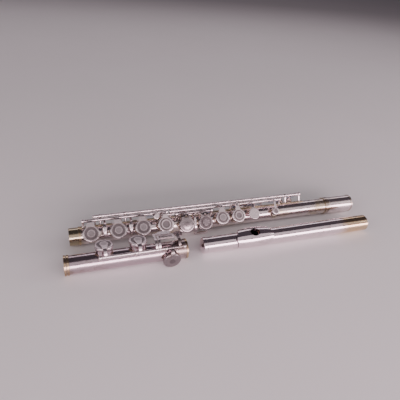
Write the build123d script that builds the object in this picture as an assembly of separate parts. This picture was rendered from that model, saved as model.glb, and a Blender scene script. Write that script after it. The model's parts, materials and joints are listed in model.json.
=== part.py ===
"""Concert flute, taken apart into its three sections and laid side by side on a flat surface.

The body section lies at the back, with the foot section in front of its left half and the head
section in front of its right half.  Each section is drawn about its own axis, along X, with its
row of tone holes facing up, then rolled and set down where it rests.  Angles about a section's
axis count from up, positive towards the front (-Y).  All sizes are millimetres.
"""
from build123d import *
import math
import os

# ------------------------------------------------------------------ tube and fits
BORE_R = 9.5                 # cylindrical bore of body and foot
WALL = 0.4
FIT = 0.05                   # radial clearance of running and sliding fits
END_PLAY = 0.3               # between neighbours that turn separately
TUBE_R = BORE_R + WALL
RIB_THICK = 0.7
RIB_R = TUBE_R + RIB_THICK
SEAT_STEP = 0.2              # tubes are turned down by this much under rings and sleeves
SEAT_R = TUBE_R - SEAT_STEP
SEAM = 0.1                   # fixed pieces that pass close to each other

# ------------------------------------------------------------------ body section
FOOT_TENON = 10.3            # part of the body tube that enters the foot socket
TENON_RING = 1.6
TENON_RING_R = 10.6
BARREL_LENGTH = 42.0
BARREL_R = 10.75
BARREL_OVERLAP = 12.0        # length of body tube inside the barrel
BARREL_RING_R = 11.25
BARREL_RING = 1.1
BARREL_RING_PITCH = 2.0
BARREL_RINGS = 3

# steps along the body, from the tenon ring to the D hole's middle and on from hole to hole
D_STEP = 11.0
E_STEP = 29.4
F_STEP = 27.7
F_SHARP_STEP = 26.1
LOWER_G_STEP = 24.7
UPPER_G_STEP = 23.4
A_STEP = 22.0
B_FLAT_STEP = 20.8
THUMB_STEP = 19.5            # thumb hole beyond the B flat hole
C_TOUCH_STEP = 21.2          # C touch beyond the B flat hole
C_SHARP_STEP = 29.9          # C sharp hole beyond the C touch
D_TRILL_STEP = 18.2
D_SHARP_TRILL_STEP = 13.5
BARREL_STEP = 47.0           # barrel beyond the last trill hole

D_AT = FOOT_TENON + TENON_RING + D_STEP
E_AT = D_AT + E_STEP
F_AT = E_AT + F_STEP
F_SHARP_AT = F_AT + F_SHARP_STEP
LOWER_G_AT = F_SHARP_AT + LOWER_G_STEP
G_SHARP_AT = LOWER_G_AT
UPPER_G_AT = LOWER_G_AT + UPPER_G_STEP
A_AT = UPPER_G_AT + A_STEP
B_FLAT_AT = A_AT + B_FLAT_STEP
THUMB_AT = B_FLAT_AT + THUMB_STEP
C_TOUCH_AT = B_FLAT_AT + C_TOUCH_STEP
C_SHARP_AT = C_TOUCH_AT + C_SHARP_STEP
D_TRILL_AT = C_SHARP_AT + D_TRILL_STEP
D_SHARP_TRILL_AT = D_TRILL_AT + D_SHARP_TRILL_STEP
BARREL_START = D_SHARP_TRILL_AT + BARREL_STEP
BODY_LENGTH = BARREL_START + BARREL_LENGTH

# angles of the rows of holes about the body's axis
G_ANGLE = 11.0
THUMB_ANGLE = -150.0
G_SHARP_ANGLE = -118.0
TRILL_ANGLE = -112.0

# ------------------------------------------------------------------ tone holes, cups and pads
HOLE_R = 7.75                # right-hand and foot holes
HIGH_HOLE_R = 7.0            # A and B flat
UPPER_G_HOLE_R = 7.3
THUMB_HOLE_R = 6.6
G_SHARP_HOLE_R = 6.2
SMALL_HOLE_R = 3.7
CHIMNEY_WALL = 0.55
BEAD = 0.3                   # rolled rim, wider than the chimney by this much
BEAD_HIGH = 0.7
RIM_RISE = 2.5               # rim above the crown of the tube, large holes
SMALL_RIM_RISE = 1.7
PAD_GAP = 0.1
PAD_SHOW = 0.5               # pad seen below the cup's edge
PAD_THICK = 2.4
PAD_PLAY = 0.1
CUP_OVERHANG = 1.6           # cup radius over hole radius
FOOT_CUP_OVERHANG = 1.95
SMALL_CUP_OVERHANG = 1.1
CUP_SIDE = 0.5
CUP_TOP = 1.0
CUP_EDGE = 1.3               # radius of the cup's shoulder
CUP_BAND = 0.9
CUP_STEP = 0.45
HUB_R = 4.2                  # raised disc in the middle of a plateau cup
HUB_RISE = 0.35
RING_GAP = 1.55              # valley outside the raised ring of the ring-topped cups
RING_WIDE = 1.3
RING_RISE = 0.8
DOME_RISE = 0.9
CUP_LIFT = 2.6               # how far an open cup stands off its rim

# ------------------------------------------------------------------ hinges
STEEL_R = 1.0
SLEEVE_R = 1.65
SLEEVE_BORE_R = STEEL_R + FIT
SMALL_SLEEVE_R = 1.45        # hinge tube of the G sharp key
BALL_R = 2.45
POST_HALF = 1.5              # half of the ball's width between its two flats
STEM_R = 1.1
POST_BASE_R = 1.75
POST_BASE_HIGH = 1.5
SMALL_BALL_R = 1.55
SPRING_R = 0.25
SPRING_OFFSET = 3.4          # springs lie this far inside the hinge line
ARM = 1.1                    # thickness of arms and touches
ARM_RISE = 0.55              # top of an arm above the cup's top
ARM_TIP_R = 1.3
ARM_FALL = 3.6               # the arms of the single cups are flat to this far from their hinge
TAIL_R = 0.8
BUMPER_R = 1.3
BUMPER_THICK = 0.5

# hinge lines of the body, as y and z beside the axis
MAIN = (HOLE_R + CUP_OVERHANG + 6.15, TUBE_R - 1.9)
G_LINE = (MAIN[0] - 3.8, MAIN[1] + 2.5)
TRILL = (MAIN[0] + 3.9, MAIN[1] - 3.5)
G_SHARP_LINE = (9.7, TUBE_R - 2.35)
THUMB_LINE = (TUBE_R + 5.1, -4.0)

# touches of the trill keys, between the right hand's cups
D_SHARP_TOUCH_SHIFT = 0.4
D_TRILL_TOUCH_SHIFT = 1.05
D_SHARP_TOUCH_AT = (D_AT + E_AT) / 2 + D_SHARP_TOUCH_SHIFT
D_TRILL_TOUCH_AT = (E_AT + F_AT) / 2 + D_TRILL_TOUCH_SHIFT


def beside(places, steps):
    """Stations that lie these steps from these places."""
    return tuple(place + step for place, step in zip(places, steps))


# posts on each line of the body, from the hole or touch beside them
MAIN_POSTS = beside((D_AT, F_SHARP_AT, F_SHARP_AT, F_SHARP_AT, B_FLAT_AT, C_SHARP_AT),
                    (-7.1, -6.4, 4.0, 9.2, 7.4, 11.7))
TRILL_POSTS = beside((D_SHARP_TOUCH_AT, D_TRILL_TOUCH_AT, D_TRILL_AT, D_SHARP_TRILL_AT),
                     (-3.1, -4.2, 4.6, 11.6))
G_POSTS = beside((LOWER_G_AT, UPPER_G_AT), (-9.1, 11.2))
THUMB_POSTS = beside((THUMB_AT, THUMB_AT), (-19.7, 22.3))
G_SHARP_POSTS = beside((G_SHARP_AT, G_SHARP_AT), (-5.2, 19.6))
ROD_BEFORE = 8.4             # trill rod beyond its first post
ROD_AFTER = 2.0              # and beyond its last
TRILL_ROD_START = TRILL_POSTS[0] - ROD_BEFORE
TRILL_ROD_END = TRILL_POSTS[3] + ROD_AFTER

# stretches of the strap, bumpers, and where hinge tubes meet
RIB_ANGLES = (-85.0, -58.5)
RIB_PAST = 4.5               # strap beyond the last post on it
RIB_BEFORE_A = 14.4
RIB_ENDS = ((FOOT_TENON + TENON_RING + 2 * SEAM, MAIN_POSTS[3] + RIB_PAST),
            (A_AT - RIB_BEFORE_A, TRILL_POSTS[3] + RIB_PAST))
BUMPERS = beside((D_AT, E_AT, F_AT, F_SHARP_AT, A_AT, B_FLAT_AT, C_TOUCH_AT),
                 (5.9, 5.0, 4.8, -2.7, 4.6, -5.2, 6.6))
RING_INSET = 0.6
SMALL_BASE_R = 1.4
SLEEVE_PAST_D = 14.4
SLEEVE_PAST_E = 13.0
SLEEVE_PAST_F = 10.8
SLEEVE_BEFORE_A = 22.4
SLEEVE_PAST_A = 8.6
SLEEVE_PAST_THUMB = 8.7

# touches and levers of the body
LUG_X = -5.4                 # adjusting screws sit this far along from their cup's middle
LUG_INSET = 0.4
LUG_SCREW_R = 0.6
C_TOUCH_R = 7.0
C_TOUCH_THICK = 1.4
C_TOUCH_LEVEL = 14.6
TRILL_ARM_SHIFT = 1.1
TRILL_TOUCH_Y = 2.5
TRILL_TOUCH_Z = 13.8
TOUCH_CLEAR = 0.35           # between the D trill touch and the cup beside it
TRILL_TOUCH_WIDE = F_STEP - 2 * (HOLE_R + CUP_OVERHANG + D_TRILL_TOUCH_SHIFT + TOUCH_CLEAR)
TRILL_TOUCH_LONG = 13.6
TRILL_TOUCH_THICK = 2.0
TRILL_COLLAR = 4.2
BULLET_R = 1.9
SHAKE_BAR = (12.3, 10.3)     # bar of the B flat shake lever, y and z
SHAKE_BAR_R = 0.7
SHAKE_BAR_PAST = 4.1         # bar beyond the fourth main post
SHAKE_BAR_END = MAIN_POSTS[3] + SHAKE_BAR_PAST
SHAKE_TOUCH_BEFORE = 2.4     # button before the second main post
SHAKE_TOUCH_AT = MAIN_POSTS[1] - SHAKE_TOUCH_BEFORE
SHAKE_TOUCH_R = 3.5
SHAKE_TOUCH_Z = 13.5
SHAKE_TAB = 2.6
SHAKE_TAB_WIDE = 2.2
SHAKE_TAB_THICK = 0.9
G_SHARP_BAR_AT = (LOWER_G_AT + UPPER_G_AT) / 2
G_SHARP_BAR_WIDE = 2.2
G_SHARP_BAR_RISE = 3.7
G_SHARP_TOUCH_ANGLE = 62.0
G_SHARP_TOUCH_RHO = 15.6
G_SHARP_TOUCH_LONG = 17.0
THUMB_TOUCH_R = 4.2
THUMB_TOUCH_LONG = 9.0
THUMB_LEVER_LONG = 5.0

# needle springs: post station, signed length, hinge line
BODY_SPRINGS = (
    (MAIN_POSTS[0], 11.0, MAIN), (MAIN_POSTS[1], -13.0, MAIN), (MAIN_POSTS[2], -5.0, MAIN),
    (MAIN_POSTS[3], 11.0, MAIN), (MAIN_POSTS[4], -11.0, MAIN), (MAIN_POSTS[4], 18.0, MAIN),
    (MAIN_POSTS[5], -16.0, MAIN), (TRILL_POSTS[1], -13.0, TRILL), (TRILL_POSTS[2], 13.0, TRILL),
    (G_POSTS[1], -8.0, G_LINE), (THUMB_POSTS[1], -10.0, THUMB_LINE),
)

# ------------------------------------------------------------------ foot section
LOW_C_AT = 40.8
LOW_C_SHARP_STEP = 35.2
LOW_D_SHARP_STEP = 33.5
LOW_C_SHARP_AT = LOW_C_AT + LOW_C_SHARP_STEP
LOW_D_SHARP_AT = LOW_C_SHARP_AT + LOW_D_SHARP_STEP
SOCKET_R = 10.6
SOCKET_LAP = 0.6             # foot tube inside the socket
SOCKET_SPARE = 0.2           # socket deeper than the tenon is long
SOCKET_START = LOW_D_SHARP_AT + HOLE_R + CHIMNEY_WALL + BEAD + SEAM
FOOT_TUBE_END = SOCKET_START + SOCKET_LAP
FOOT_LENGTH = FOOT_TUBE_END + FOOT_TENON + SOCKET_SPARE
SOCKET_RING = 2.0
SOCKET_RING_R = 11.1
END_RING_R = 10.8
END_RING = 2.0
END_RING_GAP = 0.9
LOW_D_SHARP_ANGLE = 113.0
FOOT_LINE = (-(HOLE_R + FOOT_CUP_OVERHANG + 4.8), TUBE_R - 0.9)
FOOT_POSTS = beside((LOW_C_AT, LOW_C_SHARP_AT, LOW_D_SHARP_AT, LOW_D_SHARP_AT), (-5.6, -4.4, -6.3, 14.1))
TOUCH_LEVEL = 17.0           # middle of the foot's touches above the axis
ROLLER_R = 1.9
JOURNAL_R = 0.6
ROLLER_LONG = 13.4
ROLLER_BEFORE = 4.8          # roller's end before the third post
ROLLER_SPAN = (FOOT_POSTS[2] - ROLLER_BEFORE, FOOT_POSTS[2] - ROLLER_BEFORE + ROLLER_LONG)
ROLLER_Y = -3.5
ROLLER_SINK = 0.7            # roller's axle below the touches
C_SHARP_TOUCH_Y = 4.2
LOW_C_SLEEVE = 8.0           # low C's hinge tube before the third post
FOOT_RIB_BEFORE = 6.9        # strap before the second post
FOOT_RIB_SHORT = 11.0        # and short of the D sharp hole's middle
FOOT_RIB = (FOOT_POSTS[1] - FOOT_RIB_BEFORE, LOW_D_SHARP_AT - FOOT_RIB_SHORT)
FOOT_RIB_ANGLES = (48.5, 78.0)
FOOT_SPRINGS = ((FOOT_POSTS[0], 20.0, FOOT_LINE), (FOOT_POSTS[1], 16.0, FOOT_LINE),
                (FOOT_POSTS[3], -14.0, FOOT_LINE))

# ------------------------------------------------------------------ head section
CROWN_LENGTH = 6.5
HEAD_CROWN_R = 8.9           # outer radius at the crown end of the taper
EMBOUCHURE_AT = 65.0
TAPER_BEYOND = 115.0         # taper beyond the embouchure
HEAD_TENON = 44.5
TAPER_END = EMBOUCHURE_AT + TAPER_BEYOND
HEAD_LENGTH = TAPER_END + HEAD_TENON
EMBOUCHURE_LONG = 12.0
EMBOUCHURE_WIDE = 10.2
STOPPER_FROM_HOLE = 17.3
STOPPER_LENGTH = 15.0
STOPPER_PLATE = 1.0
SCREW_R = 1.5
CROWN_R = 9.25
CROWN_NECK = 3.0
CROWN_DOME = 3.6
HEAD_TUBE_START = CROWN_LENGTH + END_PLAY
SCREW_START = 4.0
LIP_LONG = 46.0              # lip plate at its front corners
LIP_BACK_LONG = 38.0
LIP_WIDE = 23.0
LIP_CORNER_R = 6.5
LIP_THICK = 0.9
LIP_HIGH = 14.0              # top of the lip plate above the axis
LIP_BEND_R = 12.2            # its curvature across the tube
LIP_DROP = 2.0               # how far its ends fall towards the tube
RISER_WALL = 0.8

# ------------------------------------------------------------------ layout on the surface
BODY_ROLL = 52.8
FOOT_ROLL = -19.0
HEAD_ROLL = 16.0
FOOT_AT = -8.2               # foot's free end, from the body's tenon end
HEAD_GAP = 17.3              # crown beyond the foot's socket
HEAD_AT = FOOT_AT + FOOT_LENGTH + HEAD_GAP
HEAD_FRONT = 43.0            # distance of the axes in front of the body's axis
FOOT_FRONT = 44.5
BODY_HEIGHT = BARREL_RING_R
FOOT_HEIGHT = SOCKET_RING_R
HEAD_HEIGHT = TUBE_R


# ================================================================== shared shapes
def x_rod(radius, start, end, line=(0.0, 0.0)):
    """Cylinder along X between two stations on a line given by y and z."""
    return Pos((start + end) / 2, line[0], line[1]) * Rot(Y=90) * Cylinder(radius, end - start)


def x_tube(outer, inner, start, end, line=(0.0, 0.0)):
    return x_rod(outer, start, end, line) - x_rod(inner, start, end, line)


def on_tube(station, angle, solid):
    """Sets a solid drawn upright over the axis at a station and turns it about the axis."""
    return Pos(X=station) * Rot(X=angle) * solid


def seen_from(angle, line):
    """A hinge line's y and z in the upright frame of a hole at this angle."""
    turn = math.radians(angle)
    across = line[0] * math.cos(turn) + line[1] * math.sin(turn)
    up = line[1] * math.cos(turn) - line[0] * math.sin(turn)
    return across, up


def turned(solid, line, angle):
    return solid.rotate(Axis((0, line[0], line[1]), (1, 0, 0)), angle)


def sector(inner, outer, start, end, low, high):
    """Curved strap on the tube between two stations and two angles."""
    ring = x_tube(outer, inner, start, end)
    middle = (low + high) / 2
    half = math.radians(high - low) / 2
    reach = outer + 2
    side = reach * math.tan(half)
    wedge = Polyline((0, 0, 0), (0, -side, reach), (0, side, reach), close=True)
    prism = Pos(X=start) * extrude(make_face(wedge), amount=end - start, dir=(1, 0, 0))
    return ring & (Rot(X=middle) * prism)


# ================================================================== tone holes, cups and pads
def rim_height(hole_radius):
    rise = SMALL_RIM_RISE if hole_radius <= SMALL_HOLE_R else RIM_RISE
    return TUBE_R + rise


def cup_top(hole_radius):
    return rim_height(hole_radius) + PAD_GAP + PAD_THICK + CUP_TOP


def chimney(station, angle, hole_radius):
    rim = rim_height(hole_radius)
    wall = Pos(Z=rim / 2) * Cylinder(hole_radius + CHIMNEY_WALL, rim)
    bead = Pos(Z=rim - BEAD_HIGH / 2) * Cylinder(hole_radius + CHIMNEY_WALL + BEAD, BEAD_HIGH)
    return on_tube(station, angle, wall + bead)


def hole_cut(station, angle, hole_radius):
    rim = rim_height(hole_radius)
    return on_tube(station, angle, Pos(Z=rim / 2 + 1) * Cylinder(hole_radius, rim + 2))


def bored_tube(start, end, holes, seats):
    """Tube turned down at its (start, end) seats, with a chimney at each (station, angle, radius)."""
    solid = x_rod(TUBE_R, start, end)
    for seat in seats:
        solid -= x_tube(TUBE_R + 1, SEAT_R, *seat)
    for hole in holes:
        solid += chimney(*hole)
    solid -= x_rod(BORE_R, start - 1, end + 1)
    for hole in holes:
        solid -= hole_cut(*hole)
    return solid


def cup_shell(hole_radius, cup_radius, style):
    """Key cup over its hole, closed, in the upright frame."""
    ceiling = rim_height(hole_radius) + PAD_GAP + PAD_THICK
    edge = rim_height(hole_radius) + PAD_GAP + PAD_SHOW
    top = ceiling + CUP_TOP
    floor = top - CUP_STEP
    inside = [(0, ceiling), (cup_radius - CUP_SIDE, ceiling), (cup_radius - CUP_SIDE, edge),
              (cup_radius, edge), (cup_radius, top - CUP_EDGE)]
    if style == "dome":
        outline = Polyline(*[(r, 0, z) for r, z in inside])
        middle_r = cup_radius * math.cos(math.pi / 4)
        crown = top + DOME_RISE
        middle_z = top - CUP_EDGE + (crown - top + CUP_EDGE) * math.sin(math.pi / 4)
        arc = Spline((cup_radius, 0, top - CUP_EDGE), (middle_r, 0, middle_z), (0, 0, crown),
                     tangents=[(0, 0, 1), (-1, 0, 0)])
        close = Line((0, 0, crown), (0, 0, ceiling))
        return revolve(make_face([*outline.edges(), arc, close]), Axis.Z)
    shoulder = cup_radius - CUP_EDGE
    ramp = shoulder - CUP_BAND
    outline = Polyline(*[(r, 0, z) for r, z in inside])
    bend = math.cos(math.pi / 4) * CUP_EDGE
    arc = ThreePointArc((cup_radius, 0, top - CUP_EDGE), (shoulder + bend, 0, top - CUP_EDGE + bend),
                        (shoulder, 0, top))
    if style == "ring":
        ring_out = ramp - RING_GAP
        ring_in = ring_out - RING_WIDE
        rest = [(shoulder, top), (ramp, top), (ramp - CUP_STEP, floor), (ring_out + CUP_STEP, floor),
                (ring_out, top + RING_RISE), (ring_in, top + RING_RISE), (ring_in - CUP_STEP, floor),
                (0, floor), (0, ceiling)]
    elif style == "dish":
        rest = [(shoulder, top), (ramp, top), (ramp - CUP_STEP, floor), (0, floor), (0, ceiling)]
    else:
        rest = [(shoulder, top), (ramp, top), (ramp - CUP_STEP, floor), (HUB_R + CUP_STEP, floor),
                (HUB_R, top + HUB_RISE), (0, top + HUB_RISE), (0, ceiling)]
    inner = Polyline(*[(r, 0, z) for r, z in rest])
    return revolve(make_face([*outline.edges(), arc, *inner.edges()]), Axis.Z)


def pad(hole_radius, cup_radius):
    low = rim_height(hole_radius) + PAD_GAP
    return Pos(Z=low + PAD_THICK / 2) * Cylinder(cup_radius - CUP_SIDE - PAD_PLAY, PAD_THICK)


def disc(x, y, radius):
    return Pos(x, y) * Circle(radius)


def link(first, second):
    """Flat outline around two discs."""
    return make_hull([*first.edges(), *second.edges()])


def band(across, up, level, straight_from, straight_to, thick=ARM):
    """Side view of an arm: straight at a level, then curved to the hinge, extruded along X."""
    half = thick / 2
    sign = 1 if across > 0 else -1
    reach = abs(across)
    run = (reach - straight_to) * 0.62
    fall = (level - up) * 0.55

    def point(y, z):
        return (0, sign * y, z)

    if level - up < 2 * thick:
        edges = Polyline(point(straight_from, level + half), point(straight_to, level + half),
                         point(reach, up + half), point(reach, up - half),
                         point(straight_to, level - half), point(straight_from, level - half), close=True)
        return extrude(make_face(edges), amount=60, dir=(1, 0, 0), both=True)
    upper = Bezier(point(straight_to, level + half), point(straight_to + run + half, level + half),
                   point(reach + half, up + fall), point(reach + half, up))
    lower = Bezier(point(straight_to, level - half), point(straight_to + run - half, level - half),
                   point(reach - half, up + fall), point(reach - half, up))
    edges = [
        Line(point(straight_from, level + half), point(straight_to, level + half)), upper,
        Line(point(reach + half, up), point(reach - half, up)), lower,
        Line(point(straight_to, level - half), point(straight_from, level - half)),
        Line(point(straight_from, level - half), point(straight_from, level + half)),
    ]
    return extrude(make_face(edges), amount=60, dir=(1, 0, 0), both=True)


def cut_arm(side_view, plan):
    """Arm with this side view and this outline from above."""
    return side_view & (Pos(Z=-5) * extrude(plan, amount=40, dir=(0, 0, 1)))


def cup_arm(hole_radius, cup_radius, line, kind, lug=0.0):
    """Arm from a cup to its hinge, in the upright frame, with an optional lug for a screw."""
    across, up = line
    sign = 1 if across > 0 else -1
    level = cup_top(hole_radius) + ARM_RISE - ARM / 2
    hub = min(HUB_R, cup_radius - CUP_EDGE - CUP_BAND)
    flat_to = abs(across) - ARM_FALL if kind in ("short", "flared") else cup_radius - CUP_EDGE
    side_view = band(across, up, level, -hub, flat_to)
    tip = disc(0, across, ARM_TIP_R)
    shoulder_y = sign * (cup_radius - CUP_EDGE - CUP_BAND)
    if kind == "fork":
        spread = cup_radius * 0.55
        plan = link(disc(-spread, shoulder_y, ARM), tip) + link(disc(spread, shoulder_y, ARM), tip)
    elif kind in ("short", "flared"):
        flare = cup_radius / 2 if kind == "flared" else min(cup_radius / 2 - ARM, HUB_R)
        plan = link(disc(0, shoulder_y, flare), tip)
        far_y = across + sign * ARM_TIP_R
        plan &= Pos(0, (shoulder_y + far_y) / 2) * Rectangle(4 * HUB_R, abs(far_y - shoulder_y))
    else:
        plan = link(disc(0, 0, hub), tip)
    if lug:
        lug_y = sign * (cup_radius - LUG_INSET)
        plan += link(disc(lug, lug_y, 1.5), disc(0, sign * (cup_radius + LUG_INSET), 1.5))
    return cut_arm(side_view, plan)


def lift_angle(angle, line, lift):
    """Signed turn about the hinge that raises a cup by this lift."""
    across = seen_from(angle, line)[0]
    turn = math.degrees(math.asin(lift / abs(across)))
    return -turn if across > 0 else turn


# ================================================================== posts, steels and springs
def post(station, line, seat_radius, ball_radius=BALL_R, base_radius=POST_BASE_R):
    rho = math.hypot(*line)
    angle = math.degrees(math.atan2(-line[0], line[1]))
    stem = Pos(Z=(seat_radius + rho) / 2) * Cylinder(STEM_R, rho - seat_radius)
    base = Pos(Z=seat_radius - 0.4 + POST_BASE_HIGH / 2) * Cone(base_radius, STEM_R, POST_BASE_HIGH)
    ball = (Pos(Z=rho) * Sphere(ball_radius)) & (Pos(Z=rho) * Box(2 * POST_HALF, 9, 9))
    below = Pos(Z=seat_radius - 1.6) * Box(6, 6, 3.2)
    solid = stem + base + ball + (below & (Pos(Z=seat_radius - 1.6) * Cylinder(base_radius, 3.2)))
    solid -= x_rod(seat_radius, -6, 6)
    solid -= x_rod(SLEEVE_BORE_R, -6, 6, (0, rho))
    return on_tube(station, angle, solid)


def spring(post_station, length, line):
    """Needle spring held in a post's stem and lying beside the hinge."""
    rho = math.hypot(*line)
    inner = (line[0] * (rho - SPRING_OFFSET) / rho, line[1] * (rho - SPRING_OFFSET) / rho)
    back = -STEM_R * math.copysign(1, length)
    start, end = sorted((post_station + back, post_station + length))
    return x_rod(SPRING_R, start, end, inner)


def tail(station, line, seat_radius):
    """Key foot that meets its bumper when the key stands open."""
    rho = math.hypot(*line)
    angle = math.degrees(math.atan2(-line[0], line[1]))
    low = seat_radius + BUMPER_THICK + END_PLAY
    high = rho - SLEEVE_BORE_R - FIT
    return on_tube(station, angle, Pos(Z=(low + high) / 2) * Cylinder(TAIL_R, high - low))


def bumper(station, line, seat_radius):
    angle = math.degrees(math.atan2(-line[0], line[1]))
    disc_solid = Pos(Z=seat_radius - 1 + (BUMPER_THICK + 1) / 2) * Cylinder(BUMPER_R, BUMPER_THICK + 1)
    return on_tube(station, angle, disc_solid - x_rod(seat_radius, -4, 4))


def rib(start, end, low, high, holes):
    """Strap on the tube, cut clear of the chimneys beside it."""
    solid = sector(TUBE_R, RIB_R, start, end, low, high)
    for station, angle, hole_radius in holes:
        clear = hole_radius + CHIMNEY_WALL + BEAD + FIT
        solid -= on_tube(station, angle, Pos(Z=TUBE_R) * Cylinder(clear, 2 * TUBE_R))
    return solid


def joined(solids):
    return Compound([piece for solid in solids for piece in solid.solids()])


# ================================================================== body section
BODY_HOLES = (
    (D_AT, 0.0, HOLE_R), (E_AT, 0.0, HOLE_R), (F_AT, 0.0, HOLE_R), (F_SHARP_AT, 0.0, HOLE_R),
    (LOWER_G_AT, G_ANGLE, HOLE_R), (UPPER_G_AT, G_ANGLE, UPPER_G_HOLE_R),
    (A_AT, 0.0, HIGH_HOLE_R), (B_FLAT_AT, 0.0, HIGH_HOLE_R), (C_SHARP_AT, 0.0, SMALL_HOLE_R),
    (THUMB_AT, THUMB_ANGLE, THUMB_HOLE_R), (G_SHARP_AT, G_SHARP_ANGLE, G_SHARP_HOLE_R),
    (D_TRILL_AT, TRILL_ANGLE, SMALL_HOLE_R), (D_SHARP_TRILL_AT, TRILL_ANGLE, SMALL_HOLE_R),
)
TUBE_END = BARREL_START + BARREL_OVERLAP
TENON_RING_SPAN = (FOOT_TENON, FOOT_TENON + TENON_RING)


def sleeve(outer, start, tube_end, end):
    """Sleeve fixed over the turned-down end of a tube, with a socket bore beyond it."""
    seat = x_tube(outer, SEAT_R, start, tube_end)
    return seat + x_tube(outer, TUBE_R + FIT, tube_end, end)


def after(post_station):
    return post_station + POST_HALF + END_PLAY


def before(post_station):
    return post_station - POST_HALF - END_PLAY


def split(start, end, *cuts):
    """Stretches between two stations, parted by the end play at each cut."""
    starts = [start] + [cut + END_PLAY / 2 for cut in cuts]
    ends = [cut - END_PLAY / 2 for cut in cuts] + [end]
    return list(zip(starts, ends))


def body_statics():
    """Everything of the body section that doesn't move."""
    nodes = {}
    seats = (TENON_RING_SPAN, (BARREL_START, TUBE_END))
    nodes["body_tube"] = bored_tube(0.0, TUBE_END, BODY_HOLES, seats)
    nodes["foot_tenon_ring"] = x_tube(TENON_RING_R, SEAT_R, *TENON_RING_SPAN)
    nodes["barrel_sleeve"] = sleeve(BARREL_R, BARREL_START, TUBE_END, BODY_LENGTH)
    ring_starts = [BARREL_START + RING_INSET + i * BARREL_RING_PITCH for i in range(BARREL_RINGS)]
    ring_starts.append(BODY_LENGTH - BARREL_RING)
    nodes["barrel_rings"] = joined(
        [x_tube(BARREL_RING_R, BARREL_R, start, start + BARREL_RING) for start in ring_starts])
    nodes["body_ribs"] = joined([rib(*ends, *RIB_ANGLES, BODY_HOLES) for ends in RIB_ENDS])
    posts = [post(at, MAIN, RIB_R) for at in MAIN_POSTS]
    posts += [post(at, TRILL, RIB_R) for at in TRILL_POSTS]
    posts += [post(at, G_LINE, TUBE_R) for at in G_POSTS]
    posts += [post(at, THUMB_LINE, TUBE_R) for at in THUMB_POSTS]
    posts += [post(at, G_SHARP_LINE, TUBE_R, SMALL_BALL_R, SMALL_BASE_R) for at in G_SHARP_POSTS]
    nodes["body_posts"] = joined(posts)
    steel_ends = (
        (MAIN_POSTS[0], MAIN_POSTS[2], MAIN), (MAIN_POSTS[4], MAIN_POSTS[5], MAIN),
        (*G_POSTS, G_LINE), (*THUMB_POSTS, THUMB_LINE), (*G_SHARP_POSTS, G_SHARP_LINE),
    )
    steels = []
    for first, last, line in steel_ends:
        start = first + (END_PLAY if first == MAIN_POSTS[4] else -POST_HALF)
        steels.append(x_rod(STEEL_R, start, last + POST_HALF, line))
    nodes["body_steels"] = joined(steels)
    nodes["body_springs"] = joined([spring(*values) for values in BODY_SPRINGS])
    nodes["body_bumpers"] = joined([bumper(at, MAIN, RIB_R) for at in BUMPERS])
    return nodes


def cup_key(station, angle, hole_radius, style, line, sleeves, arm_kind, lug=0.0, pinned=None,
            overhang=CUP_OVERHANG):
    """Closed key of one cup on a hinge line, and its pad."""
    cup_radius = hole_radius + overhang
    solid = cup_shell(hole_radius, cup_radius, style)
    solid += cup_arm(hole_radius, cup_radius, seen_from(angle, line), arm_kind, lug)
    key = on_tube(station, angle, solid)
    for start, end in sleeves:
        key += x_rod(SLEEVE_R, start, end, line)
    if pinned:
        key += x_rod(STEEL_R, *pinned, line)
    else:
        for start, end in sleeves:
            key -= x_rod(SLEEVE_BORE_R, start - 1, end + 1, line)
    return key, on_tube(station, angle, pad(hole_radius, cup_radius))


def strap(points, width, thick=ARM):
    """Bent bar along X-wide, following a smooth line through (y, z) points."""
    count = len(points)
    sides = ([], [])
    for i, (y, z) in enumerate(points):
        before_y, before_z = points[max(i - 1, 0)]
        after_y, after_z = points[min(i + 1, count - 1)]
        length = math.hypot(after_y - before_y, after_z - before_z)
        normal_y, normal_z = (before_z - after_z) / length, (after_y - before_y) / length
        for side, sign in zip(sides, (1, -1)):
            side.append((0, y + sign * normal_y * thick / 2, z + sign * normal_z * thick / 2))
    edges = [Spline(*sides[0]), Line(sides[0][-1], sides[1][-1]), Spline(*sides[1]),
             Line(sides[1][0], sides[0][0])]
    return extrude(make_face(edges), amount=width / 2, dir=(1, 0, 0), both=True)


def trill_touch(station, arm_station):
    """Narrow domed touch between two cups, with the bar that passes under the main hinge."""
    half = TRILL_TOUCH_WIDE / 2
    girth = (half ** 2 / TRILL_TOUCH_THICK + TRILL_TOUCH_THICK) / 2
    sunk = girth - TRILL_TOUCH_THICK
    reach = TRILL_TOUCH_LONG / 2 / math.sqrt(1 - (sunk / girth) ** 2)
    profile = Ellipse(girth, reach) & (Pos(X=girth) * Rectangle(2 * girth, 4 * reach))
    above = Pos(Z=sunk + girth) * Box(4 * girth, 4 * reach, 2 * girth)
    blank = revolve(profile, Axis.Y) & above
    blank = Pos(station, TRILL_TOUCH_Y, TRILL_TOUCH_Z - sunk) * blank
    under = MAIN[1] - SLEEVE_R - END_PLAY - ARM
    path = [TRILL, (MAIN[0] + 0.2, under), (MAIN[0] - 3.2, under + 2.0),
            (MAIN[0] - 5.9, TUBE_R + 1.1), (MAIN[0] - 8.2, TRILL_TOUCH_Z - 0.9),
            (TRILL_TOUCH_Y + 2.0, TRILL_TOUCH_Z + ARM / 3)]
    return blank + Pos(X=arm_station) * strap(path, 2.2)


def side_key(key, line, sleeves, pinned=None):
    """Hinge tubes for a key whose arms are already drawn in place."""
    for start, end in sleeves:
        key += x_rod(SLEEVE_R, start, end, line)
    if pinned:
        return key + x_rod(STEEL_R, *pinned, line)
    for start, end in sleeves:
        key -= x_rod(SLEEVE_BORE_R, start - 1, end + 1, line)
    return key


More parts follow.
